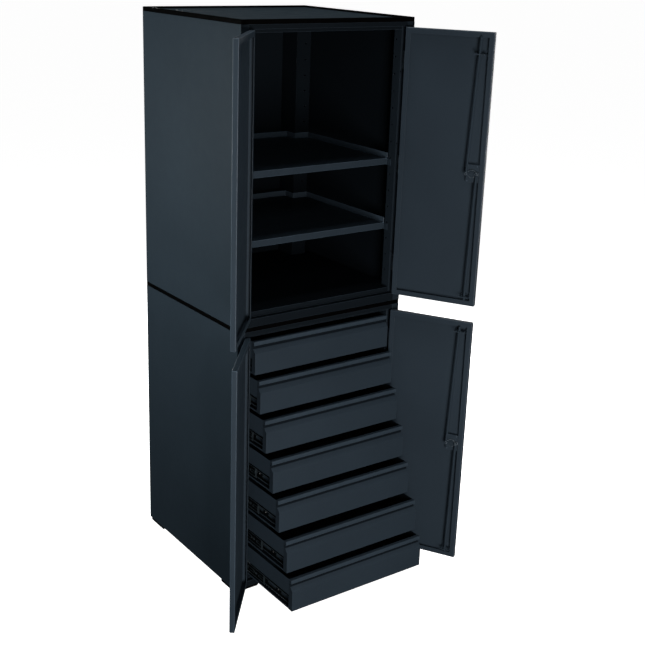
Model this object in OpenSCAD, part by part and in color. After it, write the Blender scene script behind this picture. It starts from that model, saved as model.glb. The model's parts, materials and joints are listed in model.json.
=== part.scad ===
// Tall steel workshop cabinet made of two stacked units.
// The upper unit is a cupboard with two doors and two shelves.
// The lower unit holds seven drawers on telescopic rails, behind two doors.
// Sizes are in millimetres, +Z is up and the front faces -Y.
// The origin is on the floor, under the middle of the cabinet.
// The doors and the drawers are drawn standing open.

/* [Cabinet] */
// Overall width, over the top trays
cabinet_w = 690; // [660:1:780]
// Overall depth, over the top trays
cabinet_d = 650; // [650:1:760]
// Height of the lower unit, with its feet and its tray
lower_h = 1000; // [1000:1:1060]
// Height of the upper unit, with its tray
upper_h = 995; // [900:1:1100]
// Height of each black top tray
tray_h = 15; // [12:1:20]
// Depth of the recess in each tray
tray_recess = 8; // [4:0.5:8]
// How far the trays stand out over the steel on each side
tray_overhang = 1.5; // [1:0.5:2]
// Height of the feet
foot_h = 14; // [10:1:14]
// Thickness of the frame sheet
frame_t = 1.5; // [1.5:0.1:1.8]
// Thickness of the panels, the shelves and the drawer trays
panel_t = 1.2; // [1:0.1:1.2]

/* [Doors] */
// Thickness of the doors
door_t = 18; // [16:0.5:18]
// Width of the folded edge on the inside of a door
door_fold = 18; // [14:1:22]
// Opening angle of the upper left door as drawn
upper_left_open = 131; // [0:1:150]
// Opening angle of the lower left door as drawn
lower_left_open = 130; // [0:1:150]
// Opening angle of the right doors as drawn
right_open = 120; // [96:1:150]
// Gap all round a closed door
door_gap = 1.5; // [1.5:0.1:2]
// Length of one door hinge
hinge_len = 60; // [45:1:80]
// Throw of the lock cam, from its shaft to each rod pin
cam_throw = 18; // [16:1:18]

/* [Shelves] */
// Height of the lower shelf above the cupboard floor
low_shelf = 231; // [120:1:260]
// Height of the upper shelf above the cupboard floor
high_shelf = 464; // [380:1:700]
// Height of the lips round the shelves
shelf_lip = 19; // [8:1:25]
// Height of the front face of a shelf
shelf_face = 22; // [20:1:30]

/* [Drawers] */
// Height of a drawer front
front_h = 116; // [115:1:116]
// Height from one drawer to the next
drawer_pitch = 129.4; // [127:0.1:129.4]

/* [Hidden] */

$fn = 48;
cut = 1;                                    // how far a cutting shape runs past a face
steel = [0.19, 0.22, 0.26];
dark_steel = [0.12, 0.14, 0.17];
zinc = [0.62, 0.64, 0.66];
black = [0.06, 0.06, 0.07];

// Heights
upper_z = lower_h;
lower_frame_z = [foot_h, lower_h - tray_h];
upper_frame_z = [upper_z, upper_z + upper_h - tray_h];
rail_face = 15;                             // front height of the top cross rails
lower_sill = 20.5;                          // front height of the bottom cross rail, lower unit
upper_sill = 28.5;                          // the same, upper unit
sill_step = 17.5;                           // rise of the stop behind a closed door
stop_drop = 12;                             // height of the stop under a top cross rail
lower_floor = foot_h + lower_sill + sill_step;
upper_floor = upper_z + upper_sill + sill_step;
lower_door_z = [foot_h + lower_sill + door_gap, lower_frame_z[1] - rail_face - door_gap];
upper_door_z = [upper_z + upper_sill + door_gap, upper_frame_z[1] - rail_face - door_gap];

// Places measured from the left edge (x) and from the front edge (y)
skin = tray_overhang;                       // outer face of the steel
side_in = skin + panel_t;                   // inner face of a side panel
back_y = cabinet_d - skin - frame_t;        // inner face of the back panel
stile_w = 30;                               // inner edge of the front stile
stop_y = skin + door_t + 2.5;               // front face of the door stop
post_w = 38;                                // inner wall of the front post
post_d = 60;                                // back wall of the front post
rear_post_w = 100;                          // inner wall of the rear post
rear_post_y = cabinet_d - 100;              // front wall of the rear post
plate_t = 3;                                // end plates of the posts
front_bolt = [16, 30];                      // bolts through the end plates
rear_bolt = [69, cabinet_d - 52];
bolt_r = 4;

// Hinges and doors: "along" runs from the hinge pin to the free edge, "deep" into the cabinet
hinge_gap = 6.5;
pin_x = stile_w + hinge_gap / 2;
pin_y = skin + 1;
pin_r = 1.5;
knuckle_r = 2.8;
leaf_t = 1.2;
door_near = hinge_gap / 2;
door_far = cabinet_w / 2 - pin_x - door_gap;
lock_along = door_far - 42;
lock_bore = 12;
shaft_r = 6;
rod_r = 4;
rod_deep = 27;                              // axis of the lock rods
cam_deep = [20, 22.5];
tip_gap_up = 14;                            // from a drawn-in rod's tip to its end of the door
tip_gap_down = 20;
rod_lean_up = 2.4;                          // lean of the drawn-in upper rods, degrees
rod_lean_down = 1.4;                        // lean of the drawn-in lower rods, degrees
eye_r = 7;
rod_pin_r = 3;

// Drawers: "lip" is the front top edge of a drawer front
drawer_count = 7;
drawer_out = [62, 98, 138, 185, 227, 280, 317];
lip_top = lower_door_z[1] - 19.5;           // height of the top drawer's lip
lip_shut_y = 54;                            // lip of a shut drawer, from the front edge
front_x = 61;                               // end of a drawer front
front_deep = 14;                            // back of a drawer front, behind its lip
front_proud = 8;                            // flat face, ahead of the lip
grip_deep = 7;                              // grip groove, behind the lip
tray_x = 61.5;                              // outer wall of a drawer tray
channel_x = 73.7;                           // outer face of the recessed lower wall
channel_top = -63;
tray_floor = -110;
tray_back = 488;
runner_drop = 5;
wall_top = -20;                             // top of the front and back walls of a tray
carrier_x = 60.3;                           // face of the uprights that carry the rails
slide_z = -86;                              // middle of the rails, under the lip
slide_y = [60, 530];
rail_t = 1.2;

// Outline of a sheet folded along the path p, with its thickness t to the left of the path
function left_of(v) = [-v[1], v[0]] / norm(v);
function before(p, i) = i == 0 ? p[1] - p[0] : p[i] - p[i - 1];
function after(p, i) = i == len(p) - 1 ? before(p, i) : p[i + 1] - p[i];
function mitre(a, b) = (a + b) / (1 + a * b);
function inner_point(p, i, t) = p[i] + t * mitre(left_of(before(p, i)), left_of(after(p, i)));
function folded(p, t) = concat(p, [for (i = [len(p) - 1:-1:0]) inner_point(p, i, t)]);
function arc(c, r, from, to, n) =
    [for (i = [0:n]) c + r * [cos(from + (to - from) * i / n), sin(from + (to - from) * i / n)]];

// Section of a drawer front, as [y, z] from its lip: lip, grip groove, slope and flat face
grip_r = 4;
front_path = concat(
    [[front_deep, 0]],
    arc([2, -2], 2, 90, 180, 3),
    arc([2, -12], 2, 180, 270, 3),
    arc([grip_deep - grip_r, -14 - grip_r], grip_r, 80, -35, 5),
    [[-front_proud + 1.5, -38], [-front_proud, -41]],
    [[-front_proud, -front_h + 1.5], [-front_proud + 1.5, -front_h], [front_deep, -front_h]]
);

module slab(x, y, z) {
    translate([x[0], y[0], z[0]]) cube([x[1] - x[0], y[1] - y[0], z[1] - z[0]]);
}

module along_x(x) {
    translate([x[0], 0, 0]) rotate([90, 0, 90]) linear_extrude(x[1] - x[0]) children();
}

module along_y(y) {
    translate([0, y[1], 0]) rotate([90, 0, 0]) linear_extrude(y[1] - y[0]) children();
}

module along_z(z) {
    translate([0, 0, z[0]]) linear_extrude(z[1] - z[0]) children();
}

// Places children that are measured from the left front corner
module from_corner() {
    translate([-cabinet_w / 2, -cabinet_d / 2, 0]) children();
}

// The same again, mirrored to the right side
module both_sides() {
    from_corner() children();
    mirror([1, 0, 0]) from_corner() children();
}

// Places children measured from a hinge pin, with the door swung open by angle
module on_left_door(angle) {
    translate([pin_x - cabinet_w / 2, pin_y - cabinet_d / 2, 0]) rotate([0, 0, -angle]) children();
}

module on_right_door(angle) {
    mirror([1, 0, 0]) on_left_door(angle) children();
}

// Rod with its axis into the cabinet, as the lock shaft has
module deep_rod(r, deep) {
    translate([0, deep[0], 0]) rotate([-90, 0, 0]) cylinder(r = r, h = deep[1] - deep[0]);
}

// ---- Frame ----

module side_panel(z) {
    slab([skin, side_in], [skin + frame_t, back_y], z);
}

module back_panel(z) {
    color(steel) from_corner() slab([skin, cabinet_w - skin], [back_y, back_y + frame_t], z);
}

module end_plate(x, y, z, bolt) {
    difference() {
        slab(x, y, [z, z + plate_t]);
        translate([bolt[0], bolt[1], z - cut]) cylinder(r = bolt_r + 0.2, h = plate_t + 2 * cut);
    }
}

// Front stile with the door stop and its inner wall, folded from one sheet
module front_post(z) {
    path = [
        [skin, skin], [stile_w, skin], [stile_w, stop_y],
        [post_w, stop_y], [post_w, post_d], [side_in, post_d]
    ];
    plate_x = [side_in, stile_w - frame_t];
    plate_y = [skin + frame_t, post_d - frame_t];
    along_z(z) polygon(folded(path, frame_t));
    end_plate(plate_x, plate_y, z[0], front_bolt);
    end_plate(plate_x, plate_y, z[1] - plate_t, front_bolt);
}

// Box-shaped rear post with a flange that reaches the side panel
module rear_post(z) {
    path = [
        [side_in, back_y - frame_t], [post_w, back_y - frame_t],
        [post_w, rear_post_y], [rear_post_w, rear_post_y], [rear_post_w, back_y]
    ];
    along_z(z) polygon(folded(path, frame_t));
    slab([post_w, rear_post_w], [back_y - frame_t, back_y], z);
    plate_x = [post_w + frame_t, rear_post_w - frame_t];
    plate_y = [rear_post_y + frame_t, back_y - frame_t];
    end_plate(plate_x, plate_y, z[0], rear_bolt);
    end_plate(plate_x, plate_y, z[1] - plate_t, rear_bolt);
}

// Slots in the post walls that the shelf clips hook into
slot_pitch = 58;
slot_h = 5;
module clip_slots() {
    for (z = [upper_floor + slot_pitch:slot_pitch:upper_frame_z[1] - slot_pitch]) {
        slab([post_w - frame_t - cut, post_w + cut], [46, 54], [z, z + slot_h]);
        slab([56, 64], [rear_post_y - cut, rear_post_y + frame_t + cut], [z, z + slot_h]);
    }
}

// Cuts a cross rail's ends back to clear the front posts
module rail_ends(z) {
    for (x = [[stile_w - cut, post_w], [cabinet_w - post_w, cabinet_w - stile_w + cut]]) {
        slab(x, [stop_y, post_d], z);
    }
}

module top_rail(top) {
    low = top - rail_face;
    path = [[40, top], [skin, top], [skin, low], [stop_y, low], [stop_y, low - stop_drop]];
    difference() {
        along_x([stile_w, cabinet_w - stile_w]) polygon(folded(path, frame_t));
        rail_ends([low - stop_drop - cut, top + cut]);
    }
}

module bottom_rail(bottom, face, floor_z) {
    top = bottom + face;
    path = [[stop_y, floor_z], [stop_y, top], [skin, top], [skin, bottom], [40, bottom]];
    difference() {
        along_x([stile_w, cabinet_w - stile_w]) polygon(folded(path, frame_t));
        rail_ends([bottom - cut, floor_z + cut]);
    }
}

// Floor sheet that fits round the posts, with downturned side edges and a slot for the lock rod
module floor_pan(floor_z) {
    z = [floor_z - frame_t, floor_z];
    rod_x = cabinet_w - pin_x - lock_along;
    color(steel) from_corner() difference() {
        union() {
            slab([post_w, cabinet_w - post_w], [stop_y + frame_t, post_d], z);
            slab([side_in, cabinet_w - side_in], [post_d, rear_post_y], z);
            slab([rear_post_w, cabinet_w - rear_post_w], [rear_post_y, back_y], z);
            for (x = [side_in, cabinet_w - side_in - frame_t]) {
                slab([x, x + frame_t], [post_d, rear_post_y], [floor_z - 18, floor_z]);
            }
        }
        slab([rod_x - 20, rod_x + 10], [stop_y + 2.5, stop_y + 13], [floor_z - 5, floor_z + cut]);
    }
}

// Moulded tray on top of a unit, with a raised rim, open underneath
tray_rim = 10;
tray_skin = 3;
tray_corner_r = 7;
module round_slab(x, y, z, r) {
    along_z(z) {
        translate([x[0] + r, y[0]]) square([x[1] - x[0] - 2 * r, y[1] - y[0]]);
        translate([x[0], y[0] + r]) square([x[1] - x[0], y[1] - y[0] - 2 * r]);
        for (cx = [x[0] + r, x[1] - r], cy = [y[0] + r, y[1] - r]) translate([cx, cy]) circle(r = r);
    }
}

module top_tray(bottom, bolts) {
    top = bottom + tray_h;
    w = cabinet_w;
    d = cabinet_d;
    recess = [top - tray_recess, top + cut];
    inner_r = tray_corner_r - 2;
    color(black) from_corner() difference() {
        round_slab([0, w], [0, d], [bottom, top], tray_corner_r);
        round_slab([tray_rim, w - tray_rim], [tray_rim, d - tray_rim], recess, inner_r);
        difference() {
            slab([105, w - 105], [70, d - 105], [bottom - cut, top - tray_recess - tray_skin]);
            for (x = [1:3]) slab([x * w / 4 - 1, x * w / 4 + 1], [0, d], [bottom - 2 * cut, top]);
        }
        for (p = bolts, x = [p[0], w - p[0]]) {
            translate([x, p[1], bottom - cut]) cylinder(r = bolt_r + 0.2, h = tray_h + 2 * cut);
        }
    }
}

module upper_posts() {
    difference() {
        children();
        clip_slots();
    }
}

// ---- Shelves ----

// Shelf with a folded front, raised lips on three sides and notched rear corners
module shelf(z) {
    left = post_w + 2;
    front = 62;
    notch = [rear_post_w + 2, rear_post_y - 3];
    back = cabinet_d - 48;
    right = cabinet_w - left;
    t = panel_t;
    rim = [z - t, z + shelf_lip];
    color(steel) from_corner() {
        slab([left, right], [front, notch[1]], [z - t, z]);
        slab([notch[0], cabinet_w - notch[0]], [front, back], [z - t, z]);
        slab([left, right], [front, front + t], [z - shelf_face, z]);
        slab([left, right], [front, front + 12], [z - shelf_face, z - shelf_face + t]);
        slab([notch[0], cabinet_w - notch[0]], [back - t, back], rim);
    }
    color(steel) both_sides() {
        slab([left, left + t], [front, notch[1]], rim);
        slab([left, notch[0] + t], [notch[1] - t, notch[1]], rim);
        slab([notch[0], notch[0] + t], [notch[1] - t, back], rim);
    }
}

// Clips under one shelf: a plate on the post and an arm under the sheet
module clips(z) {
    under = z - panel_t;
    slab([post_w, post_w + 1.8], [44, 80], [z - 24, under]);
    slab([post_w, 56], [66, 80], [under - 3, under]);
    slab([50, 70], [rear_post_y - 1.5, rear_post_y], [z - 24, under]);
    slab([50, 70], [rear_post_y - 20, rear_post_y], [under - 3, under]);
}

// ---- Hinges ----

hinge_step = 110;                           // hinge centre, in from each end of the door
function hinge_heights(z) = [z[0] + hinge_step, (z[0] + z[1]) / 2, z[1] - hinge_step];
middle_knuckle = hinge_len / 3;

// Fixed leaf on the stile with the middle knuckle and the hinge pin
module fixed_hinge(z) {
    half = hinge_len / 2;
    part = middle_knuckle / 2 - 0.2;
    leaf_y = [pin_y + 3, pin_y + 17];
    difference() {
        union() {
            slab([stile_w, stile_w + leaf_t], leaf_y, [z - half, z + half]);
            slab([stile_w, pin_x], [pin_y, pin_y + 4], [z - part, z + part]);
            translate([pin_x, pin_y, z - part]) cylinder(r = knuckle_r, h = 2 * part);
        }
        translate([pin_x, pin_y, z - half]) cylinder(r = pin_r, h = hinge_len);
    }
    translate([pin_x, pin_y, z - half]) cylinder(r = pin_r, h = hinge_len);
}

// Moving leaf with the two end knuckles, measured from the pin
module door_hinge(z) {
    half = hinge_len / 2;
    part = middle_knuckle / 2 + 0.2;
    difference() {
        union() {
            slab([door_near - leaf_t, door_near], [3, 16], [z - half, z + half]);
            for (low = [z - half, z + part]) {
                slab([0, door_near], [0, 4], [low, low + half - part]);
                translate([0, 0, low]) cylinder(r = knuckle_r, h = half - part);
            }
        }
        translate([0, 0, z - half - cut]) cylinder(r = pin_r + 0.05, h = hinge_len + 2 * cut);
    }
}

// ---- Doors ----

// Door pan: an outer skin with its edges folded back and in
module door_pan(z) {
    t = panel_t;
    f = door_fold;
    difference() {
        slab([door_near, door_far], [0, door_t], z);
        slab([door_near + t, door_far - t], [t, door_t - t], [z[0] + t, z[1] - t]);
        slab([door_near + f, door_far - f], [t, door_t + cut], [z[0] + f, z[1] - f]);
    }
}

module door(z) {
    door_pan(z);
    for (h = hinge_heights(z)) door_hinge(h);
}

module locked_door(z) {
    difference() {
        door_pan(z);
        translate([lock_along, 0, middle(z)]) deep_rod(lock_bore, [-cut, panel_t + cut]);
    }
    for (h = hinge_heights(z)) door_hinge(h);
}

function middle(z) = (z[0] + z[1]) / 2;

// ---- Lock, measured from its shaft on the door ----

case_half = [22, 30];
module lock_case() {
    difference() {
        union() {
            slab([-20, 20], [-3, 0], [-45, 45]);
            deep_rod(lock_bore, [-3, panel_t]);
            slab([-case_half[0], case_half[0]], [panel_t, 17], [-case_half[1], case_half[1]]);
        }
        deep_rod(shaft_r + 0.1, [-4, 18]);
    }
}

// Bracket on the door skin with a wide slot for a lock rod
module rod_guide(along, z) {
    difference() {
        union() {
            slab([along - 18, along + 18], [panel_t, 3], [z - 12, z + 12]);
            slab([along - 18, along + 18], [panel_t, 36], [z - 1.5, z + 1.5]);
        }
        slab([along - 11, along + 11], [rod_deep - 5, rod_deep + 5], [z - 3, z + 3]);
    }
}

module wing_handle() {
    deep_rod(14, [-12, -3.2]);
    deep_rod(shaft_r, [-3.2, cam_deep[0]]);
    deep_rod(5, [cam_deep[0], cam_deep[1]]);
    deep_rod(8, [cam_deep[1], cam_deep[1] + 2]);
    slab([-28, 28], [-22, -12], [-8, 8]);
    for (side = [-28, 28]) translate([side, 0, 0]) deep_rod(8, [-22, -12]);
    deep_rod(10, [-24, -22]);
}

module lock_cam() {
    difference() {
        union() {
            deep_rod(14, cam_deep);
            slab([-cam_throw, cam_throw], cam_deep, [-eye_r, eye_r]);
            for (side = [-cam_throw, cam_throw]) translate([side, 0, 0]) deep_rod(eye_r, cam_deep);
        }
        deep_rod(5, [cam_deep[0] - cut, cam_deep[1] + cut]);
    }
    for (side = [-cam_throw, cam_throw]) translate([side, 0, 0]) {
        deep_rod(rod_pin_r, [cam_deep[1], rod_deep + 3]);
        deep_rod(rod_pin_r + 1.5, [rod_deep + 3, rod_deep + 4]);
    }
}

// Lock rod upward from its eye, with a rounded tip
module lock_rod(reach) {
    difference() {
        union() {
            deep_rod(eye_r, [rod_deep - 2, rod_deep + 2]);
            translate([0, rod_deep, eye_r - 1.5]) cylinder(r = rod_r, h = reach - eye_r + 1.5 - rod_r);
            translate([0, rod_deep, reach - rod_r]) sphere(r = rod_r);
        }
        deep_rod(rod_pin_r + 0.05, [rod_deep - 6, rod_deep + 6]);
    }
}

// Where each rod's guide stands: in from the end of the door, and out from the shaft
upper_guides = [72, 34];
lower_guides = [34, 34];
guide_shift = [0, 7];

module lock_parts(z, guides) {
    translate([lock_along, 0, middle(z)]) lock_case();
    rod_guide(lock_along + guide_shift[0], z[1] - guides[0]);
    rod_guide(lock_along + guide_shift[1], z[0] + guides[1]);
}

module rod_up(z) {
    reach = (z[1] - z[0]) / 2 - tip_gap_up;
    translate([lock_along - cam_throw, 0, middle(z)]) rotate([0, rod_lean_up, 0]) lock_rod(reach);
}

module rod_down(z) {
    reach = (z[1] - z[0]) / 2 - tip_gap_down;
    translate([lock_along + cam_throw, 0, middle(z)])
        rotate([0, rod_lean_down, 0]) mirror([0, 0, 1]) lock_rod(reach);
}

// ---- Drawers ----

function lip_z(i) = lip_top - drawer_pitch * (i - 1);

// Places children measured from the left edge and from the lip of drawer i
module at_drawer(i, travel) {
    translate([-cabinet_w / 2, lip_shut_y - cabinet_d / 2 - travel, lip_z(i)]) children();
}

module drawer_front(i) {
    color(steel) at_drawer(i, drawer_out[i - 1]) {
        along_x([front_x, cabinet_w - front_x]) polygon(folded(front_path, frame_t));
        for (x = [front_x, cabinet_w - front_x - frame_t]) along_x([x, x + frame_t]) polygon(front_path);
    }
}

module tray_wall(y) {
    slab([tray_x, cabinet_w - tray_x], y, [channel_top, wall_top]);
    slab([channel_x, cabinet_w - channel_x], y, [tray_floor, channel_top + cut]);
}

// One side of a tray below its channel: a ledge and a short runner
module tray_runner() {
    t = panel_t;
    slab([tray_x, channel_x + t], [front_deep, tray_back], [tray_floor, tray_floor + t]);
    slab([tray_x, tray_x + t], [front_deep, tray_back], [tray_floor - runner_drop, tray_floor + t]);
}

module inner_rail() {
    web = channel_x - 0.1;
    path = [[66.5, -13], [web, -13], [web, 13], [66.5, 13]];
    translate([0, 0, slide_z]) along_y([front_deep, tray_back - 8]) polygon(folded(path, rail_t));
}

module drawer_tray(i) {
    r = cabinet_w - tray_x;
    c = cabinet_w - channel_x;
    left = [[tray_x, -1], [tray_x, channel_top], [channel_x, channel_top], [channel_x, tray_floor]];
    right = [[c, tray_floor], [c, channel_top], [r, channel_top], [r, -1]];
    at_drawer(i, drawer_out[i - 1]) {
        color(dark_steel) {
            along_y([front_deep, tray_back]) polygon(folded(concat(left, right), panel_t));
            tray_wall([front_deep, front_deep + panel_t]);
            tray_wall([tray_back - panel_t, tray_back]);
            tray_runner();
            translate([cabinet_w, 0, 0]) mirror([1, 0, 0]) tray_runner();
        }
        color(zinc) {
            inner_rail();
            translate([cabinet_w, 0, 0]) mirror([1, 0, 0]) inner_rail();
        }
    }
}

// Middle rail with its ball cages
module mid_rail(i) {
    path = [[71.5, 17], [64, 17], [64, -17], [71.5, -17]];
    from_corner() translate([0, -drawer_out[i - 1] / 2, lip_z(i) + slide_z]) {
        along_y(slide_y) polygon(folded(path, rail_t));
        for (flip = [0, 1]) mirror([0, 0, flip]) {
            slab([64.5, 68.5], [slide_y[0] + 100, slide_y[0] + 290], [17, 20.3]);
            slab([67, 70], [slide_y[0] + 60, slide_y[0] + 240], [13.5, 15.8]);
        }
    }
}

module drawer_mid_rails(i) {
    color(zinc) {
        mid_rail(i);
        mirror([1, 0, 0]) mid_rail(i);
    }
}

// Outer rail, which starts behind the shut drawer front
module outer_rail(i) {
    path = [[71, 22], [carrier_x, 22], [carrier_x, -22], [71, -22]];
    y = [lip_shut_y + front_deep + 2, slide_y[1]];
    translate([0, 0, lip_z(i) + slide_z]) along_y(y) polygon(folded(path, rail_t));
}

// Upright that the rails of one side are fixed to
module carrier(y) {
    path = [[side_in, y], [carrier_x, y], [carrier_x, y + 30], [side_in, y + 30]];
    along_z([lower_floor, lower_frame_z[1]]) polygon(folded(path, frame_t));
}

// ---- Feet and bolts ----

// Corner pad with sloped inner ends and a bolt hole
foot = [95, 92];
foot_inset = 6;
foot_slope = 9;
module foot_pad(bolt, near_y) {
    x = [foot_inset, foot_inset + foot[0]];
    y = [near_y, near_y + foot[1]];
    difference() {
        along_y(y) polygon([
            [x[0], 0], [x[1], 0], [x[1] + foot_slope, foot_h - 2],
            [x[1] + foot_slope, foot_h], [x[0] - 2, foot_h], [x[0] - 2, 3]
        ]);
        translate([bolt[0], bolt[1], -cut]) cylinder(r = bolt_r + 0.2, h = foot_h + 2 * cut);
        translate([bolt[0], bolt[1], -cut]) cylinder(r = 8, h = 7 + cut);
    }
}

module foot_bolt(bolt) {
    translate([bolt[0], bolt[1], 2]) cylinder(r = 6.5, h = 5);
    translate([bolt[0], bolt[1], 7]) cylinder(r = bolt_r, h = foot_h + 8);
    translate([bolt[0], bolt[1], foot_h + plate_t]) hex_nut();
}

module hex_nut() {
    difference() {
        cylinder(r = 7.5, h = 6.5, $fn = 6);
        translate([0, 0, -cut]) cylinder(r = bolt_r, h = 6.5 + 2 * cut);
    }
}

// Bolt down through the upper post plate, the tray and the lower post plate
module stacking_bolt(bolt) {
    top = upper_z + plate_t;
    low = lower_frame_z[1] - plate_t;
    translate([bolt[0], bolt[1], top]) cylinder(r = 6.5, h = 5);
    translate([bolt[0], bolt[1], low - 10]) cylinder(r = bolt_r, h = top - low + 10);
    translate([bolt[0], bolt[1], low - 6.5]) hex_nut();
}

// ---- Nodes ----

module upper_left_side() { color(steel) from_corner() side_panel(upper_frame_z); }
module upper_right_side() { mirror([1, 0, 0]) upper_left_side(); }
module lower_left_side() { color(steel) from_corner() side_panel(lower_frame_z); }
module lower_right_side() { mirror([1, 0, 0]) lower_left_side(); }

module upper_front_posts() {
    color(steel) both_sides() upper_posts() front_post(upper_frame_z);
}

module upper_rear_posts() {
    color(steel) both_sides() upper_posts() rear_post(upper_frame_z);
}

module upper_cross_rails() {
    color(steel) from_corner() {
        top_rail(upper_frame_z[1]);
        bottom_rail(upper_z, upper_sill, upper_floor);
    }
}

module lower_cross_rails() {
    color(steel) from_corner() {
        top_rail(lower_frame_z[1]);
        bottom_rail(foot_h, lower_sill, lower_floor);
    }
}

module shelf_clips() {
    color(zinc) both_sides() {
        clips(upper_floor + low_shelf);
        clips(upper_floor + high_shelf);
    }
}

module slide_carriers() {
    color(dark_steel) both_sides() {
        carrier(slide_y[0]);
        carrier(slide_y[1] - 30);
    }
}

module slide_outer_rails() {
    color(zinc) both_sides() for (i = [1:drawer_count]) outer_rail(i);
}

module frame_hinges() {
    color(dark_steel) both_sides() {
        for (z = [lower_door_z, upper_door_z], h = hinge_heights(z)) fixed_hinge(h);
    }
}

module stacking_bolts() {
    color(zinc) both_sides() {
        stacking_bolt(front_bolt);
        stacking_bolt(rear_bolt);
    }
}

module feet() {
    color(black) both_sides() {
        foot_pad(front_bolt, 8);
        foot_pad(rear_bolt, cabinet_d - 10 - foot[1]);
    }
}

module foot_bolts() {
    color(zinc) both_sides() {
        foot_bolt(front_bolt);
        foot_bolt(rear_bolt);
    }
}

module upper_left_door() { color(steel) on_left_door(upper_left_open) door(upper_door_z); }
module lower_left_door() { color(steel) on_left_door(lower_left_open) door(lower_door_z); }
module upper_right_door() { color(steel) on_right_door(right_open) locked_door(upper_door_z); }
module lower_right_door() { color(steel) on_right_door(right_open) locked_door(lower_door_z); }

// Places children measured from the lock shaft of the door that spans the heights z
module at_lock(z) {
    on_right_door(right_open) translate([lock_along, 0, middle(z)]) children();
}

module lock_case_of(z, guides) { color(black) on_right_door(right_open) lock_parts(z, guides); }
module lock_handle_of(z) { color(black) at_lock(z) wing_handle(); }
module lock_cam_of(z) { color(zinc) at_lock(z) lock_cam(); }
module rod_up_of(z) { color(zinc) on_right_door(right_open) rod_up(z); }
module rod_down_of(z) { color(zinc) on_right_door(right_open) rod_down(z); }

module upper_top_tray() { top_tray(upper_frame_z[1], []); }
module lower_top_tray() { top_tray(lower_frame_z[1], [front_bolt, rear_bolt]); }
module lower_front_posts() { color(steel) both_sides() front_post(lower_frame_z); }
module lower_rear_posts() { color(steel) both_sides() rear_post(lower_frame_z); }

upper_left_side();
upper_right_side();
back_panel(upper_frame_z);  // upper_back_panel
floor_pan(upper_floor);  // upper_floor_pan
upper_front_posts();
upper_rear_posts();
upper_cross_rails();
upper_top_tray();
shelf(upper_floor + low_shelf);  // low_shelf_tray
shelf(upper_floor + high_shelf);  // high_shelf_tray
shelf_clips();
lower_left_side();
lower_right_side();
back_panel(lower_frame_z);  // lower_back_panel
floor_pan(lower_floor);  // lower_floor_pan
lower_front_posts();
lower_rear_posts();
lower_cross_rails();
lower_top_tray();
slide_carriers();
slide_outer_rails();
frame_hinges();
stacking_bolts();
feet();
foot_bolts();
upper_left_door();
upper_right_door();
lower_left_door();
lower_right_door();
lock_case_of(upper_door_z, upper_guides);  // upper_lock_case
lock_case_of(lower_door_z, lower_guides);  // lower_lock_case
lock_handle_of(upper_door_z);  // upper_lock_handle
lock_handle_of(lower_door_z);  // lower_lock_handle
lock_cam_of(upper_door_z);  // upper_lock_cam
lock_cam_of(lower_door_z);  // lower_lock_cam
rod_up_of(upper_door_z);  // upper_rod_up
rod_down_of(upper_door_z);  // upper_rod_down
rod_up_of(lower_door_z);  // lower_rod_up
rod_down_of(lower_door_z);  // lower_rod_down
for (i = [1:drawer_count]) {
    drawer_front(i);
    drawer_tray(i);
    drawer_mid_rails(i);
}
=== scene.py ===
"""Looks for a tall steel workshop cabinet of two stacked units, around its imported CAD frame.

Shapes are built in millimetres, most of them in corner coordinates: x from the left edge of the
top tray, y from its front edge and z from the floor. new_piece() turns them into metres.
"""

import json
import math

import bmesh
import bpy
from mathutils import Matrix, Vector


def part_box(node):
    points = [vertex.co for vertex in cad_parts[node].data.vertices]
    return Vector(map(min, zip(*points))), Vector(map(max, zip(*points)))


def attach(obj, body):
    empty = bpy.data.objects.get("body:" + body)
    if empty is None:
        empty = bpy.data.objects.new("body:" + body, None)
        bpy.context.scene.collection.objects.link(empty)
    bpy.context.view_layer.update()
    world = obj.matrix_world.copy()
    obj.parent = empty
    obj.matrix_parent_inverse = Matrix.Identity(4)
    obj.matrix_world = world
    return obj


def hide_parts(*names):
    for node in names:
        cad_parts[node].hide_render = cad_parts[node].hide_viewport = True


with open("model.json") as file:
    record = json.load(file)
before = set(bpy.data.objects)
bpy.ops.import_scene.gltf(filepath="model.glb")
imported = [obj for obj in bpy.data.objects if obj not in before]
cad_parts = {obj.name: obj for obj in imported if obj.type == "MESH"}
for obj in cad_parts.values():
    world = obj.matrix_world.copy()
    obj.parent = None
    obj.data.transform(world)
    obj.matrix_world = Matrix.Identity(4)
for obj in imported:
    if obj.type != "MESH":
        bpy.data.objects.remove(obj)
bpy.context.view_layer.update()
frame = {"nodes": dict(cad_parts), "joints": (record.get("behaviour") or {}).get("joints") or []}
scene = bpy.context.scene

MM = 0.001
JOINTS = {j["name"]: j for j in frame["joints"]}
tray_low, tray_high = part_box("upper_top_tray")
WIDTH = (tray_high.x - tray_low.x) / MM
DEPTH = (tray_high.y - tray_low.y) / MM
CORNER = Matrix.Translation((-WIDTH / 2, -DEPTH / 2, 0))
MIRROR = Matrix.Scale(-1, 4, Vector((1, 0, 0)))
SIDES = {"left": CORNER, "right": MIRROR @ CORNER}


def millimetres(node):
    """A CAD node's lowest and highest corners at rest, in millimetres."""
    low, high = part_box(node)
    return low / MM, high / MM


# ---- Materials ----


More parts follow.
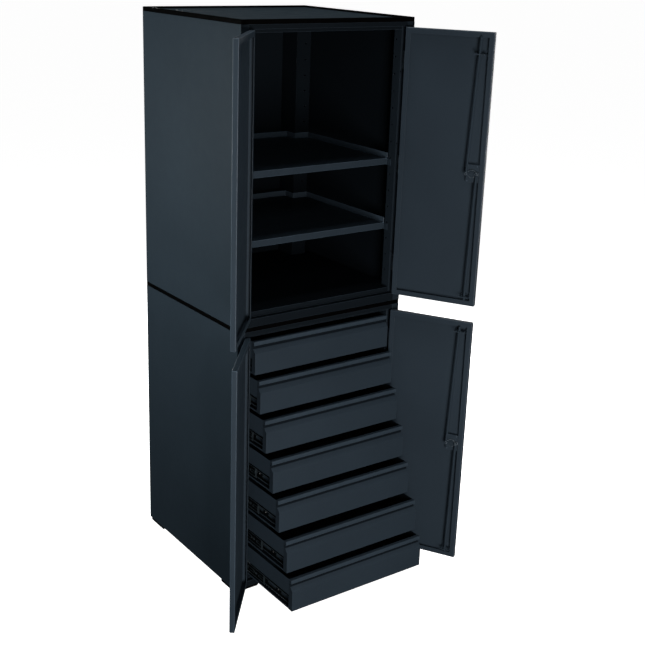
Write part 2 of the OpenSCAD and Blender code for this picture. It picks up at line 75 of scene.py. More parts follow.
class Nodes:
    """A new material with its shader, and short ways to add nodes to it."""

    def __init__(self, name):
        self.material = bpy.data.materials.new(name)
        self.material.use_nodes = True
        self.tree = self.material.node_tree
        self.shader = self.tree.nodes["Principled BSDF"]
        self.place = self.add("ShaderNodeTexCoord").outputs["Object"]

    def add(self, kind, **settings):
        node = self.tree.nodes.new(kind)
        for key, value in settings.items():
            setattr(node, key, value)
        return node

    def link(self, output, socket):
        self.tree.links.new(output, socket)

    def noise(self, scale, detail=2.0, roughness=0.5, stretch=(1, 1, 1)):
        """Noise from 0 to 1 over the object, with features about 1 / scale metres across."""
        mapping = self.add("ShaderNodeMapping")
        mapping.inputs["Scale"].default_value = stretch
        self.link(self.place, mapping.inputs["Vector"])
        node = self.add("ShaderNodeTexNoise")
        node.inputs["Scale"].default_value = scale
        node.inputs["Detail"].default_value = detail
        node.inputs["Roughness"].default_value = roughness
        self.link(mapping.outputs["Vector"], node.inputs["Vector"])
        return node.outputs["Fac"]

    def spread(self, value, low, high, start=0.3, end=0.7):
        """The value, from start to end, spread over low to high."""
        node = self.add("ShaderNodeMapRange")
        for key, number in (("From Min", start), ("From Max", end), ("To Min", low), ("To Max", high)):
            node.inputs[key].default_value = number
        self.link(value, node.inputs["Value"])
        return node.outputs["Result"]

    def maths(self, operation, a, b):
        node = self.add("ShaderNodeMath", operation=operation)
        for socket, value in zip(node.inputs, (a, b)):
            if isinstance(value, (int, float)):
                socket.default_value = value
            else:
                self.link(value, socket)
        return node.outputs["Value"]

    def blend(self, share, a, b):
        """Colour b over colour a; each is a tuple or a socket."""
        node = self.add("ShaderNodeMix", data_type="RGBA")
        self.link(share, node.inputs["Factor"])
        for socket, colour in ((node.inputs[6], a), (node.inputs[7], b)):
            if isinstance(colour, tuple):
                socket.default_value = (*colour, 1)
            else:
                self.link(colour, socket)
        return node.outputs[2]

    def bump(self, height, strength, distance, under=None):
        node = self.add("ShaderNodeBump")
        node.inputs["Strength"].default_value = strength
        node.inputs["Distance"].default_value = distance
        self.link(height, node.inputs["Height"])
        if under is not None:
            self.link(under, node.inputs["Normal"])
        return node.outputs["Normal"]

    def finish(self, colour, roughness, normal=None, **fixed):
        self.link(colour, self.shader.inputs["Base Color"])
        self.link(roughness, self.shader.inputs["Roughness"])
        if normal is not None:
            self.link(normal, self.shader.inputs["Normal"])
        for key, value in fixed.items():
            self.shader.inputs[key.replace("_", " ")].default_value = value
        self.material.diffuse_color = (0.05, 0.06, 0.07, 1)
        return self.material


def scaled(colour, factor):
    """The colour made lighter or darker."""
    return tuple(min(1.0, c * factor) for c in colour)


def powder_coat(name, colour, roughness, gloss, rubbed=0.0):
    """Fine-textured powder coat: soft mottling, a speckle, orange peel, and polish where it is rubbed."""
    n = Nodes(name)
    cloud = n.spread(n.noise(3.1, 4), 0, 1)
    tone = n.blend(cloud, scaled(colour, 0.93), scaled(colour, 1.07))
    speckle = n.spread(n.noise(900, 1), 0, 1, 0.55, 0.75)
    tone = n.blend(speckle, tone, scaled(colour, 1.35))
    handled = n.maths("MULTIPLY", n.spread(n.noise(7, 5, 0.6), 0, 1, 0.5, 0.75), 0.05 + rubbed * 0.1)
    rough = n.maths("SUBTRACT", n.spread(n.noise(24, 4), roughness - 0.03, roughness + 0.05), handled)
    if rubbed:
        worn = n.spread(n.noise(60, 5, 0.7, (1, 1, 0.25)), 0, rubbed, 0.45, 0.7)
        tone = n.blend(worn, tone, scaled(colour, 2.2))
    peel = n.bump(n.noise(260, 2), 0.10, 0.0006)
    grain = n.bump(n.noise(1500, 1), 0.12, 0.0002, peel)
    return n.finish(tone, rough, grain, Specular_IOR_Level=gloss)


def plastic(name, colour, roughness, gloss, grain_scale=700, dusty=1.0):
    """Moulded plastic or rubber with an eroded grain and a little dust."""
    n = Nodes(name)
    dust = n.spread(n.noise(11, 6, 0.65), 0, 0.35, 0.5, 0.8)
    tone = n.blend(dust, colour, tuple(c * 1.5 + 0.004 * dusty for c in colour))
    rough = n.spread(n.noise(18, 4), roughness - 0.05, roughness + 0.07)
    grain = n.bump(n.noise(grain_scale, 2), 0.25, 0.0004)
    return n.finish(tone, rough, grain, Specular_IOR_Level=gloss)


def metal(name, colour, roughness, brushed, metallic=1.0, gloss=0.5):
    """Plated steel: drawn or brushed lines, a cloudy plating and small stains."""
    n = Nodes(name)
    cloud = n.spread(n.noise(30, 4), 0, 1)
    tone = n.blend(cloud, scaled(colour, 0.82), scaled(colour, 1.15))
    lines = n.noise(900, 2, 0.6, brushed)
    tone = n.blend(n.spread(lines, 0, 0.25), tone, scaled(colour, 1.6))
    stain = n.spread(n.noise(90, 5, 0.7), 0, 0.5, 0.62, 0.8)
    tone = n.blend(stain, tone, scaled(colour, 0.45))
    cloudy = n.spread(n.noise(55, 4), roughness - 0.06, roughness + 0.08)
    rough = n.maths("ADD", cloudy, n.maths("MULTIPLY", stain, 0.2))
    return n.finish(tone, rough, n.bump(lines, 0.12, 0.0002), Metallic=metallic, Specular_IOR_Level=gloss)


# The anthracite of the powder coat; the other finishes of the steel are scaled from it
PAINT = (0.0195, 0.0300, 0.0415)
paint = powder_coat("paint_anthracite", PAINT, 0.5, 0.1)
# Lighter edge paints: painted highlights along the rounded edges, with some wear
paint_edge_wear_and_highlight = powder_coat("paint_anthracite_edge_wear_and_painted_highlight", scaled(PAINT, 1.5), 0.42, 0.25, rubbed=0.25)
# Painted shade: the inside of the units and of the drawer trays is this much darker
painted_shade_inside = powder_coat("paint_inside_painted_shade", scaled(PAINT, 0.21), 0.6, 0.02)
# Painted shade: the cross rails, floor pans and slide carriers are much darker, the front posts a little
rail_paint_painted_shade = powder_coat("paint_cross_rails_painted_shade", scaled(PAINT, 0.24), 0.5, 0.04)
post_paint_painted_shade = powder_coat("paint_front_posts_painted_shade", scaled(PAINT, 0.6), 0.5, 0.08)
post_edge_wear_and_highlight = powder_coat("paint_front_posts_edge_wear_and_painted_highlight", scaled(PAINT, 1.3), 0.42, 0.25, rubbed=0.2)
rail_paint_edge_wear_and_highlight = powder_coat("paint_cross_rails_edge_wear_and_painted_highlight", scaled(PAINT, 1.1), 0.42, 0.25, rubbed=0.2)
shelf_paint = powder_coat("shelf_anthracite", scaled(PAINT, 0.85), 0.48, 0.12, rubbed=0.06)
# Painted highlights: the shelves' rounded edges, with some wear, and the inward faces of their lips
shelf_edge_wear_and_highlight = powder_coat("shelf_anthracite_edge_wear_and_painted_highlight", scaled(PAINT, 3.0), 0.4, 0.35, rubbed=0.3)
lip_painted_highlight = powder_coat("shelf_lip_painted_highlight", scaled(PAINT, 1.8), 0.45, 0.3)
front_paint = powder_coat("drawer_front_anthracite", scaled(PAINT, 0.95), 0.46, 0.12)
# Painted highlight with wear on the drawer lips and eased ends; painted shadow in the grip groove
front_edge_wear_and_highlight = powder_coat("drawer_front_edge_wear_and_painted_highlight", scaled(PAINT, 1.2), 0.4, 0.2, rubbed=0.15)
groove_painted_shadow = powder_coat("drawer_groove_painted_shadow", scaled(PAINT, 0.3), 0.6, 0.02)
# Painted light: the outer sides of the drawer trays are lighter than the steel's coat
tray_paint_painted_light = powder_coat("drawer_tray_painted_light", scaled(PAINT, 1.35), 0.5, 0.12, rubbed=0.05)
black_tray = plastic("black_moulding", (0.0006, 0.0006, 0.0007), 0.55, 0.02, dusty=0.0)
top_sheet = powder_coat("top_sheet", (0.0118, 0.0211, 0.0284), 0.62, 0.08, rubbed=0.04)
handle_black = plastic("handle_black", (0.005, 0.005, 0.006), 0.4, 0.3, 1100)
rubber = plastic("foot_rubber", (0.0012, 0.0012, 0.0013), 0.75, 0.03, 500, dusty=0.2)
hinge_steel = metal("hinge_painted_steel", scaled(PAINT, 1.2), 0.45, (1, 1, 0.05), 0.1)
rail_steel = metal("rail_black_zinc", (0.0018, 0.0026, 0.0032), 0.5, (1, 0.03, 1), 0.0, 0.06)
# Painted highlight: the raised rims, strips and rounded edges of the slide rails are lighter
rail_rim_painted_highlight = metal("rail_black_zinc_painted_highlight", (0.040, 0.058, 0.070), 0.4, (1, 0.03, 1), 0.2, 0.3)
rod_coat = powder_coat("rod_coat", scaled(PAINT, 0.95), 0.6, 0.03, rubbed=0.1)
lock_coat = powder_coat("lock_coat", scaled(PAINT, 0.8), 0.5, 0.1, rubbed=0.2)
# Painted highlight with wear on the lock cams' rounded edges; the ball cages take the same light paint
lock_edge_wear_and_highlight = powder_coat("lock_coat_edge_wear_and_painted_highlight", (0.16, 0.20, 0.23), 0.4, 0.3, rubbed=0.3)
bright_zinc = metal("bright_zinc", (0.30, 0.31, 0.32), 0.32, (1, 1, 1))
ball_steel = metal("ball_steel", (0.4, 0.41, 0.42), 0.2, (1, 1, 1))


# ---- Mesh building ----


def loft(bm, rings):
    """A skin over rings of points. A ring of one point is a pole; open ends get a flat cap."""
    made = [[bm.verts.new(p) for p in ring] for ring in rings]
    for a, b in zip(made, made[1:]):
        n = max(len(a), len(b))
        for i in range(n):
            corners = []
            for v in (a[i % len(a)], a[(i + 1) % len(a)], b[(i + 1) % len(b)], b[i % len(b)]):
                if v not in corners:
                    corners.append(v)
            bm.faces.new(corners)
    for ring in (made[0], made[-1]):
        if len(ring) > 2:
            bm.faces.new(ring)


def loop_loft(bm, rings):
    """A skin over rings of points that comes back to the first ring."""
    made = [[bm.verts.new(p) for p in ring] for ring in rings]
    for a, b in zip(made, made[1:] + made[:1]):
        for i in range(len(a)):
            j = (i + 1) % len(a)
            bm.faces.new((a[i], a[j], b[j], b[i]))


def circle(radius, height, place, n):
    """A ring of n points about the place's z axis; radius 0 gives a pole.

    The radius may be a function of the angle.
    """
    if radius == 0:
        return [place @ Vector((0, 0, height))]
    ring = []
    for i in range(n):
        a = 2 * math.pi * i / n
        r = radius(a) if callable(radius) else radius
        ring.append(place @ Vector((r * math.cos(a), r * math.sin(a), height)))
    return ring


def turned(bm, profile, place, n):
    """A turned solid; its profile is pairs of radius and height."""
    loft(bm, [circle(radius, height, place, n) for radius, height in profile])


def turned_ring(bm, profile, place, n):
    """A turned solid with a hole through it; its profile is a closed loop."""
    loop_loft(bm, [circle(radius, height, place, n) for radius, height in profile])


def block(bm, low, high, place, bevel):
    """A block whose edges are rounded unless bevel is 0."""
    own = bmesh.new()
    bmesh.ops.create_cube(own, size=1)
    size = Vector(high) - Vector(low)
    middle = Matrix.Translation((Vector(high) + Vector(low)) / 2)
    bmesh.ops.transform(own, matrix=middle @ Matrix.Diagonal((*size, 1)), verts=own.verts[:])
    if bevel:
        bmesh.ops.bevel(
            own, geom=own.edges[:], offset=min(bevel, min(size) * 0.45), segments=2,
            profile=0.5, affect="EDGES", material=-1,
        )
    own.transform(place)
    mesh = bpy.data.meshes.new("part")
    own.to_mesh(mesh)
    own.free()
    bm.from_mesh(mesh)
    bpy.data.meshes.remove(mesh)


def arc(centre, radius, start, end, steps):
    """Points on an arc, with angles in degrees."""
    angles = [math.radians(start + (end - start) * i / steps) for i in range(steps + 1)]
    return [(centre[0] + radius * math.cos(a), centre[1] + radius * math.sin(a)) for a in angles]


def left_normal(a, b):
    """The unit normal to the left of the way from a to b."""
    d = (b[0] - a[0], b[1] - a[1])
    length = math.hypot(*d)
    return Vector((-d[1] / length, d[0] / length))


def bent(path, thickness, bend, steps):
    """The two faces of a sheet folded along path, thickness to its left, with each fold rounded."""
    near, far = [Vector(path[0])], [Vector(path[0]) + thickness * left_normal(path[0], path[1])]
    for before, at, after in zip(path, path[1:], path[2:]):
        n0, n1 = left_normal(before, at), left_normal(at, after)
        turn = math.atan2(n0.x * n1.y - n0.y * n1.x, n0.dot(n1))
        side = 1 if turn > 0 else -1
        on_path = bend + thickness if turn > 0 else bend
        centre = Vector(at) + side * on_path * (n0 + n1) / (1 + n0.dot(n1))
        for i in range(steps + 1):
            a = turn * i / steps
            n = Vector((n0.x * math.cos(a) - n0.y * math.sin(a), n0.x * math.sin(a) + n0.y * math.cos(a)))
            near.append(centre - side * on_path * n)
            far.append(centre - side * on_path * n + thickness * n)
    last = left_normal(path[-2], path[-1])
    near.append(Vector(path[-1]))
    far.append(Vector(path[-1]) + thickness * last)
    return near, far


def sheet(bm, path, thickness, span, place, bend=0.9, steps=3):
    """A sheet folded along a path of x and z, drawn along y over the span."""
    faces = bent(path, thickness, bend, steps)
    (n0, f0), (n1, f1) = [
        [[bm.verts.new(place @ Vector((p.x, s, p.y))) for p in face] for face in faces] for s in span
    ]
    count = len(n0)
    for i in range(count - 1):
        bm.faces.new((n0[i], n0[i + 1], n1[i + 1], n1[i]))
        bm.faces.new((f0[i], f0[i + 1], f1[i + 1], f1[i]))
        bm.faces.new((n0[i], n0[i + 1], f0[i + 1], f0[i]))
        bm.faces.new((n1[i], n1[i + 1], f1[i + 1], f1[i]))
    for i in (0, count - 1):
        bm.faces.new((n0[i], n1[i], f1[i], f0[i]))


# Edges that turn more than this look sharp
SHARP = math.radians(38)


def new_piece(name, bm, body, materials, replaces=(), cutter=None):
    """Turns a mesh in millimetres into a shaded piece that rides on its body.

    A cutter is a mesh that is taken away from the piece.
    """
    bmesh.ops.recalc_face_normals(bm, faces=bm.faces[:])
    piece = as_object(name, bm)
    if cutter is not None:
        bmesh.ops.recalc_face_normals(cutter, faces=cutter.faces[:])
        tool = as_object(name + "_cutter", cutter)
        modifier = piece.modifiers.new("cut", "BOOLEAN")
        modifier.object, modifier.operation, modifier.solver = tool, "DIFFERENCE", "EXACT"
        bpy.context.view_layer.update()
        shape = bpy.data.meshes.new_from_object(piece.evaluated_get(bpy.context.evaluated_depsgraph_get()))
        piece.modifiers.clear()
        piece.data = shape
        shape.name = name
        bpy.data.objects.remove(tool)
    mesh = piece.data
    for m in materials:
        mesh.materials.append(m)
    mesh.polygons.foreach_set("use_smooth", [True] * len(mesh.polygons))
    mesh.set_sharp_from_angle(angle=SHARP)
    weighted = piece.modifiers.new("normals", "WEIGHTED_NORMAL")
    weighted.keep_sharp = True
    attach(piece, body)
    if replaces:
        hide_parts(*replaces)
    return piece


def as_object(name, bm):
    """An object in metres made of a mesh in millimetres."""
    bmesh.ops.transform(bm, matrix=Matrix.Scale(MM, 4), verts=bm.verts[:])
    mesh = bpy.data.meshes.new(name)
    bm.to_mesh(mesh)
    bm.free()
    piece = bpy.data.objects.new(name, mesh)
    scene.collection.objects.link(piece)
    return piece


def facing(origin, normal):
    """A frame at origin with its z axis along normal, for screws and the like."""
    z = Vector(normal).normalized()
    x = Vector((0, 0, 1)).cross(z)
    x = x.normalized() if x.length > 1e-6 else Vector((1, 0, 0))
    y = z.cross(x)
    turn = Matrix((x, y, z)).transposed().to_4x4()
    return Matrix.Translation(origin) @ turn


# ---- Fasteners ----


def cross(arm, half):
    """Radius of a cross recess against the angle."""

    def radius(a):
        a = abs((a + math.pi / 4) % (math.pi / 2) - math.pi / 4)
        return min(arm / math.cos(a), half / max(math.sin(a), 1e-6))

    return radius


def hexagon(flat):
    """Radius of a hexagon against the angle, from half its width over the flats."""
    return lambda a: flat / math.cos((a + math.pi / 6) % (math.pi / 3) - math.pi / 6)


def pan_screw(bm, place, r, height):
    """Pan head with a cross recess, radius r."""
    turned(
        bm,
        [
            (r, -0.3), (r, height * 0.25), (r * 0.93, height * 0.62), (r * 0.74, height * 0.9),
            (cross(r * 0.55, r * 0.14), height), (cross(r * 0.5, r * 0.12), height * 0.35), (0, height * 0.3),
        ],
        place, 32,
    )


def dome(bm, place, r, height):
    """A rivet head."""
    rings = [(r, -0.2), (r, 0)]
    rings += [(r * math.cos(a), height * math.sin(a)) for a in (0.4, 0.8, 1.2)]
    turned(bm, rings + [(0, height)], place, 20)


def socket_bolt(bm, place):
    """Cap screw head with a hexagon socket."""
    r, head, key = 6.5, 5.0, 3.0
    turned(
        bm,
        [
            (r, 0), (r, head - 0.7), (r - 0.7, head), (key * 1.3, head), (hexagon(key), head - 0.2),
            (hexagon(key), head * 0.4), (0, head * 0.35),
        ],
        place, 36,
    )


def hex_nut(bm, place, flat, height, hole):
    """Nut on its bolt: half its width over the flats, its height and the bolt's radius."""
    outer = hexagon(flat)
    turned(
        bm,
        [
            (hole, 0), (flat * 0.9, 0), (outer, height * 0.12), (outer, height * 0.88), (flat * 0.9, height),
            (hole, height), (hole * 0.98, height - 0.01), (0, height - 0.01),
        ],
        place, 36,
    )


def ball(bm, centre, r, place):
    """A bearing ball."""
    rings = [(0, -r)] + [(r * math.cos(a), r * math.sin(a)) for a in (-1.0, -0.5, 0, 0.5, 1.0)] + [(0, r)]
    turned(bm, rings, place @ Matrix.Translation(centre), 10)


# ---- CAD nodes that stay: softened edges and their finishes ----


# How squarely a face has to look towards a centre to count as an inside face for the painted shade and
# painted highlights
SQUARELY = 0.5


def finish_group(name, centres=(), painted_light_paint=None):
    """Smooth faces. Faces that look towards a centre, given as axis and metres, take a paint that holds
    painted light: painted shade inside the units, a painted highlight on the shelf lips.
    """
    group = bpy.data.node_groups.new(name, "GeometryNodeTree")
    group.interface.new_socket("Geometry", in_out="INPUT", socket_type="NodeSocketGeometry")
    group.interface.new_socket("Geometry", in_out="OUTPUT", socket_type="NodeSocketGeometry")

    add = group.nodes.new

    def maths(operation, *values):
        node = add("ShaderNodeMath")
        node.operation = operation
        for socket, value in zip(node.inputs, values):
            if isinstance(value, float):
                socket.default_value = value
            else:
                group.links.new(value, socket)
        return node.outputs[0]

    start, end = add("NodeGroupInput"), add("NodeGroupOutput")
    smooth = add("GeometryNodeSetShadeSmooth")
    group.links.new(start.outputs[0], smooth.inputs["Geometry"])
    last = smooth.outputs["Geometry"]
    if centres:
        place, normal = add("ShaderNodeSeparateXYZ"), add("ShaderNodeSeparateXYZ")
        group.links.new(add("GeometryNodeInputPosition").outputs[0], place.inputs[0])
        group.links.new(add("GeometryNodeInputNormal").outputs["True Normal"], normal.inputs[0])
        lowest = 1.0
        for axis, centre in centres:
            side = maths("SIGN", maths("SUBTRACT", place.outputs[axis], centre))
            lowest = maths("MINIMUM", maths("MULTIPLY", normal.outputs[axis], side), lowest)
        painted_light = add("GeometryNodeSetMaterial")
        painted_light.inputs["Material"].default_value = painted_light_paint
        group.links.new(last, painted_light.inputs["Geometry"])
        group.links.new(maths("LESS_THAN", lowest, -SQUARELY), painted_light.inputs["Selection"])
        last = painted_light.outputs["Geometry"]
    group.links.new(last, end.inputs[0])
    return group


# The units' inward faces take painted shade; the shelves' inward lip faces take a painted highlight
SMOOTH = {
    None: finish_group("smooth_faces"),
    "upper": finish_group("smooth_and_painted_shade_inside_upper_unit", ((0, 0.0), (1, 0.0), (2, 1.5)), painted_shade_inside),
    "lower": finish_group("smooth_and_painted_shade_inside_lower_unit", ((0, 0.0), (1, 0.0), (2, 0.5)), painted_shade_inside),
    "shelf": finish_group("smooth_and_painted_highlight_on_shelf_lips", ((0, 0.0), (1, 0.0)), lip_painted_highlight),
}


# Distance in metres that welds points, angle of a flat surface, and angle from which an edge is rounded
WELD, FLAT, ROUND_FROM = 0.00001, math.radians(0.5), math.radians(40)


def soften(node, width, materials, painted_light=None):
    """Rounds a CAD node's edges with modifiers, and gives it its finish.

    A second material goes on the rounded edges; a lighter edge paint there is a painted highlight along with
    wear. The last argument names the entry of SMOOTH to use, which paints shade or highlight on inward faces.
    """
    obj = frame["nodes"][node]
    obj.material_slots[0].material = materials[0]
    if len(materials) > 1:
        obj.data.materials.append(materials[1])
    weld = obj.modifiers.new("weld", "WELD")
    weld.merge_threshold = WELD
    flat = obj.modifiers.new("flat", "DECIMATE")
    flat.decimate_type = "DISSOLVE"
    flat.angle_limit = FLAT
    smooth = obj.modifiers.new("smooth", "NODES")
    smooth.node_group = SMOOTH[painted_light]
    bevel = obj.modifiers.new("bevel", "BEVEL")
    bevel.width = width * MM
    bevel.segments = 2
    bevel.limit_method = "ANGLE"
    bevel.angle_limit = ROUND_FROM
    bevel.use_clamp_overlap = True
    if len(materials) > 1:
        bevel.material = 1
    weighted = obj.modifiers.new("normals", "WEIGHTED_NORMAL")
    weighted.keep_sharp = False


PAINTED = (paint, paint_edge_wear_and_highlight)
# The units' inward faces take painted shade
for unit in ("upper", "lower"):
    for part in ("left_side", "right_side", "back_panel", "rear_posts"):
        soften(f"{unit}_{part}", 0.5, PAINTED, painted_light=unit)
    # The posts, and below them the cross rails and floor pans, take darker paint as painted shade
    soften(f"{unit}_front_posts", 0.5, (post_paint_painted_shade, post_edge_wear_and_highlight))
    for part in ("floor_pan", "cross_rails"):
        soften(f"{unit}_{part}", 0.5, (rail_paint_painted_shade, rail_paint_edge_wear_and_highlight), painted_light=unit)
    soften(f"{unit}_lock_case", 0.5, PAINTED)
    soften(f"{unit}_lock_cam", 0.7, (lock_coat, lock_edge_wear_and_highlight))
    soften(f"{unit}_rod_up", 0.4, (rod_coat,))
    soften(f"{unit}_rod_down", 0.4, (rod_coat,))
# The shelves' lips and edges take painted highlights
for node in ("low_shelf_tray", "high_shelf_tray"):
    soften(node, 0.6, (shelf_paint, shelf_edge_wear_and_highlight), painted_light="shelf")
soften("shelf_clips", 0.3, (rod_coat,))
soften("slide_carriers", 0.4, (rail_paint_painted_shade, rail_paint_edge_wear_and_highlight))
soften("slide_outer_rails", 0.3, (rail_steel, rail_rim_painted_highlight))
soften("frame_hinges", 0.25, (hinge_steel,))
soften("feet", 1.0, (rubber,))
soften("foot_bolts", 0.4, (rod_coat,))


# ---- Doors ----

# Hinge pin from the case's corner. Then, from the pin: the door's two edges, its depth and its return flange
PIN = (33.25, 2.5)
DOOR_NEAR, DOOR_FAR, DOOR_T, DOOR_FOLD = 3.25, 310.25, 18.0, 18.0
SHEET = 1.2
DOOR_BEND, LIP_BEVEL = 2.2, 0.3
MITRE_GAP = 0.6
# Distance of the outer hinges from the door's ends, half of a hinge, half of the room for its middle knuckle
HINGE_STEP, HINGE_HALF, HINGE_PART = 110.0, 30.0, 10.2
# Heights of a leaf's screws, and the radius and height of their heads
HINGE_SCREWS = (-21, 0, 21)
HINGE_HEAD = (2.6, 0.8)
# Where the shaft of the lock is along the door, and the screws of its outer plate and its case around it
LOCK_ALONG = DOOR_FAR - 42
PLATE_SCREWS = (-38, 38)
CASE_SCREWS = ((-17, -25), (17, -25), (-17, 25), (17, 25))
# Degrees between a door at its closing stop and a shut door
CLOSES_TO = {"upper": 0.0, "lower": 95.0}


def on_door(unit, side):
    """Places shapes drawn as along, deep and z from the hinge pin of an open door."""
    opened = CLOSES_TO[unit] - JOINTS[f"{unit}_{side}_door_hinge"]["range_deg"][0]
    base = Matrix.Translation((PIN[0] - WIDTH / 2, PIN[1] - DEPTH / 2, 0))
    base = base @ Matrix.Rotation(math.radians(-opened), 4, "Z")
    return base if side == "left" else MIRROR @ base


def hinge_heights(z):
    """Heights of the three hinges of a door that spans z."""
    return (z[0] + HINGE_STEP, (z[0] + z[1]) / 2, z[1] - HINGE_STEP)


def door_pan(z):
    """A pan folded from one sheet: outer skin, four sides and four return flanges."""
    bm = bmesh.new()
    t, f = SHEET, DOOR_FOLD

    def loop(inset, deep):
        a, b, low, high = DOOR_NEAR + inset, DOOR_FAR - inset, z[0] + inset, z[1] - inset
        return [bm.verts.new(p) for p in ((a, deep, low), (b, deep, low), (b, deep, high), (a, deep, high))]

    outer, back = loop(0, 0), loop(0, DOOR_T)
    hole_out, hole_in = loop(f, DOOR_T), loop(f, DOOR_T - t)
    inner_back, inner = loop(t, DOOR_T - t), loop(t, t)
    bm.faces.new(outer)
    bm.faces.new(inner)
    loops = (outer, back, hole_out, hole_in, inner_back, inner)
    for a, b in zip(loops, loops[1:]):
        for i in range(4):
            j = (i + 1) % 4
            bm.faces.new((a[i], a[j], b[j], b[i]))
    ring = set(outer) | set(back)
    edges = [e for e in bm.edges if all(v in ring for v in e.verts)]
    # The folds and the flanges' rim take the second material, the lighter edge paint: a painted highlight
    # with wear
    bmesh.ops.bevel(bm, geom=edges, offset=DOOR_BEND, segments=4, profile=0.5, affect="EDGES", material=1)
    rim = [e for e in bm.edges if all(v in hole_out for v in e.verts)]
    bmesh.ops.bevel(bm, geom=rim, offset=LIP_BEVEL, segments=2, profile=0.5, affect="EDGES", material=1)
    return bm


def door_cuts(z, locked):
    """Mitre gaps in the return flanges and the lock's bore."""
    bm = bmesh.new()
    reach = DOOR_FOLD * math.sqrt(2)
    for x, sx in ((DOOR_NEAR, 1), (DOOR_FAR, -1)):
        for low, sz in ((z[0], 1), (z[1], -1)):
            turn = Matrix.Rotation(math.atan2(-sz, sx), 4, "Y")
            place = Matrix.Translation((x, 0, low)) @ turn
            near = (3.6, DOOR_T - SHEET - 0.2, -MITRE_GAP / 2)
            block(bm, near, (reach + 1, DOOR_T + 1, MITRE_GAP / 2), place, 0)
    if locked:
        turned(bm, [(13, -3), (13, 3)], facing((LOCK_ALONG, 0, sum(z) / 2), (0, 1, 0)), 32)
    return bm


def hinge_leaf(bm, place, middle):
    """Moving leaf with its two end knuckles and the pin's rounded ends."""
    low, high = middle - HINGE_HALF, middle + HINGE_HALF
    block(bm, (DOOR_NEAR - SHEET, 3, low), (DOOR_NEAR, 16, high), place, 0.35)
    for a, b in ((low, middle - HINGE_PART), (middle + HINGE_PART, high)):
        block(bm, (0.2, 0.2, a), (DOOR_NEAR - 0.05, 4, b), place, 0.3)
        turned_ring(bm, [(1.6, a), (2.5, a), (2.8, a + 0.3), (2.8, b - 0.3), (2.5, b), (1.6, b)], place, 28)


for unit in ("upper", "lower"):
    for side in ("left", "right"):
        node = f"{unit}_{side}_door"
        body = f"{unit}_{side}_leaf"
        low, high = millimetres(node)
        z = (low.z, high.z)
        place = on_door(unit, side)
        pan = door_pan(z)
        pan.transform(place)
        cuts = door_cuts(z, side == "right")
        cuts.transform(place)
        new_piece(f"{node}_pan", pan, body, PAINTED, (node,), cutter=cuts)
        leaves, screws = bmesh.new(), bmesh.new()
        for middle in hinge_heights(z):
            hinge_leaf(leaves, place, middle)
            for dz in HINGE_SCREWS:
                head = facing((DOOR_NEAR - SHEET, 10.5, middle + dz), (-1, 0, 0))
                pan_screw(screws, place @ head, *HINGE_HEAD)
        new_piece(f"{node}_hinge_leaves", leaves, body, (hinge_steel,))
        new_piece(f"{node}_hinge_screws", screws, body, (hinge_steel,))

# Screws of the fixed hinge leaves, on the inner edge of each stile
screws = bmesh.new()
for base in SIDES.values():
    for unit in ("upper", "lower"):
        low, high = millimetres(f"{unit}_left_door")
        for middle in hinge_heights((low.z, high.z)):
            for dz in HINGE_SCREWS:
                pan_screw(screws, base @ facing((31.2, 13.2, middle + dz), (1, 0, 0)), *HINGE_HEAD)
new_piece("frame_hinge_screws", screws, "cabinet", (hinge_steel,))


# ---- Locks ----


def wings(half, width, hub):
    """Outline of a wing handle against the angle: two rounded wings and a round hub."""

    def radius(a):
        c, s = abs(math.cos(a)), abs(math.sin(a))
        straight = half - width
        wing = width / max(s, 1e-6)
        if wing * c > straight:
            wing = straight * c + math.sqrt(max(width ** 2 - (straight * s) ** 2, 0))
        return max(wing, hub)

    return radius


for unit in ("upper", "lower"):
    low, high = millimetres(f"{unit}_right_door")
    z = (low.z, high.z)
    middle = (z[0] + z[1]) / 2
    place = on_door(unit, "right") @ Matrix.Translation((LOCK_ALONG, 0, middle))
    outward = place @ facing((0, 0, 0), (0, -1, 0))

    handle = bmesh.new()
    turned(
        handle,
        [
            (0, -20), (6, -20), (6, 3.2), (13.4, 3.2), (14, 3.8), (14, 10.6), (13.2, 11.8),
            (wings(34, 6.5, 12.5), 12.0), (wings(35.6, 7.8, 12.8), 13.2), (wings(36, 8, 13), 15),
            (wings(36, 8, 13), 18.6), (wings(35.4, 7.4, 12.6), 20.6), (wings(33.6, 5.8, 11.6), 21.8),
            (10, 22), (9.8, 23.5), (9.2, 24), (4.4, 24), (cross(3.6, 0.7), 23.9), (cross(3.6, 0.7), 22.4),
            (0, 22.4),
        ],
        outward, 96,
    )
    new_piece(
        f"{unit}_wing_handle", handle, f"{unit}_lock_turn", (handle_black,),
        (f"{unit}_lock_handle",),
    )
    cap = bmesh.new()
    turned(cap, [(8, -24.5), (8, -24.2), (7, -23.4), (5, -22.5), (5, -20)], outward, 6)
    turned(cap, [(5, -22.5), (5, -20)], outward, 24)
    new_piece(f"{unit}_cam_nut", cap, f"{unit}_lock_turn", (lock_coat,))
    screws = bmesh.new()
    for dz in PLATE_SCREWS:
        pan_screw(screws, place @ facing((0, -3, dz), (0, -1, 0)), 3.6, 2.0)
    for dx, dz in CASE_SCREWS:
        pan_screw(screws, place @ facing((dx, 17, dz), (0, 1, 0)), 2.6, 1.0)
    new_piece(f"{unit}_lock_screws", screws, f"{unit}_right_leaf", (paint_edge_wear_and_highlight,))


# ---- Black top trays ----


def rounded(half_x, half_y, r, z):
    """A ring of points round a rectangle with round corners."""
    ring = []
    for sx, sy, start in ((1, 1, 0), (-1, 1, 90), (-1, -1, 180), (1, -1, 270)):
        for x, y in arc((sx * (half_x - r), sy * (half_y - r)), r, start, start + 90, 6):
            ring.append(Vector((x, y, z)))
    return ring


# Depth of a tray's floor under its rim
TRAY_WELL = 8.0

